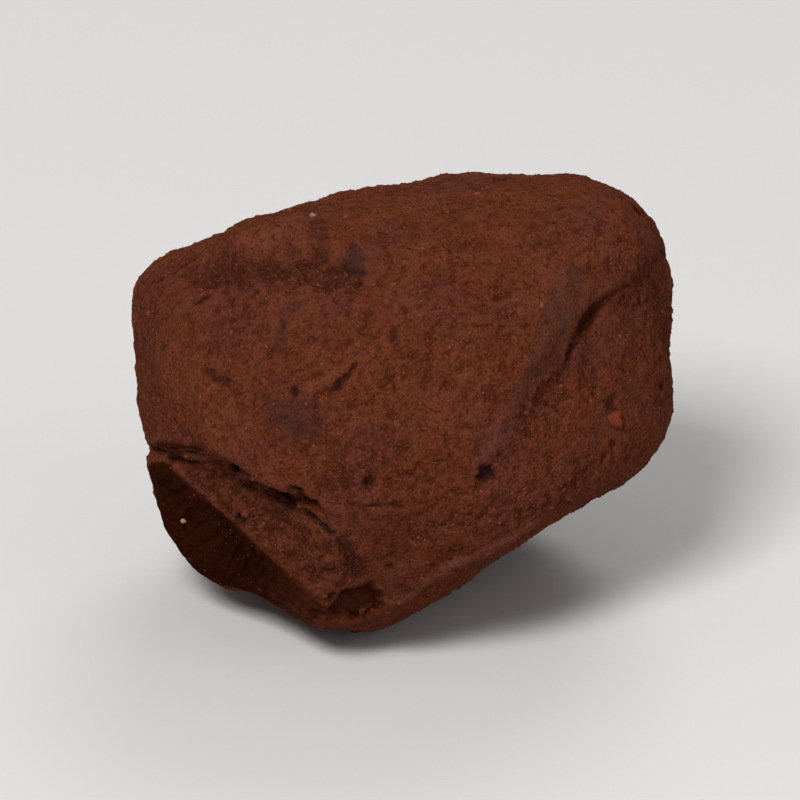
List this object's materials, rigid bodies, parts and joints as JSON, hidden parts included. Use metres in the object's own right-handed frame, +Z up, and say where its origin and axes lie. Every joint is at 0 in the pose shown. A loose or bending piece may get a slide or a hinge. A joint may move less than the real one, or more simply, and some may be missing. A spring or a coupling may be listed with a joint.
{
  "type": "chocolate truffle",
  "caption": "Hand-rolled chocolate truffle: a rounded, softly faceted ganache lump under cocoa powder, with a raised ridge and a cracked, broken lip.",
  "frame": {"origin": "on the surface that the truffle stands on, under the middle of its bounding box", "axes": "+X is its width seen from the front and its longest side, +Y runs from its front to its back, +Z is up; its broad front face is towards -Y"},
  "size_m": [0.034, 0.0316, 0.0271],
  "materials": {
    "cocoa": "matte, velvety cocoa powder over dark ganache"
  },
  "bodies": {
    "root": {"truffle": "cocoa"}
  },
  "joints": []
}
